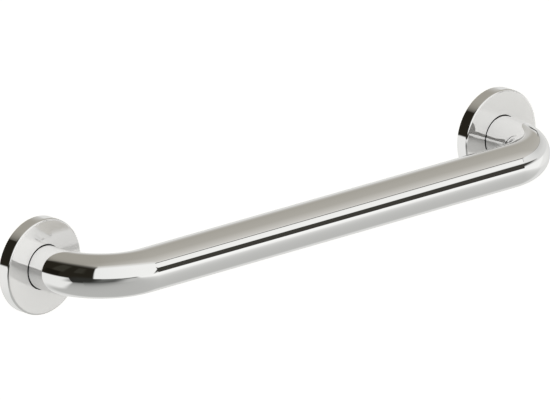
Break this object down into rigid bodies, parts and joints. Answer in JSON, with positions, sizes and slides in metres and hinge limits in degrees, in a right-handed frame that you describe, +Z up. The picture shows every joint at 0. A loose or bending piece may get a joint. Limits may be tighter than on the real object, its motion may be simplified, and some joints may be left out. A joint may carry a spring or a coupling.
{
  "type": "grab bar",
  "caption": "Wall-mounted chrome grab bar: a round tube bent back to the wall at both ends, with a cover rose that slides off the screw flange on each leg.",
  "frame": {"origin": "on the wall plane, midway between the two legs", "axes": "+X along the bar to its right-hand leg as seen from the room, +Y into the wall, +Z up"},
  "size_m": [0.405, 0.0625, 0.055],
  "materials": {
    "polished_chrome": "mirror-polished chrome plate",
    "flange_steel": "satin, turned face",
    "weld_steel": "ground weld with a faint heat tint",
    "black_rubber": "matt moulded rubber"
  },
  "bodies": {
    "bar": {"grab_tube": "polished_chrome", "left_flange": "flange_steel", "right_flange": "flange_steel", "left_weld": "weld_steel", "right_weld": "weld_steel"},
    "left_rose": {"left_cover_rose": "polished_chrome", "left_rose_o_ring": "black_rubber"},
    "right_rose": {"right_cover_rose": "polished_chrome", "right_rose_o_ring": "black_rubber"}
  },
  "joints": [
    {"name": "left_rose_slide", "type": "slide", "parent": "bar", "child": "left_rose", "axis": [0, -1, 0], "range_m": [0, 0.0075]},
    {"name": "right_rose_slide", "type": "slide", "parent": "bar", "child": "right_rose", "axis": [0, -1, 0], "range_m": [0, 0.0075]}
  ]
}
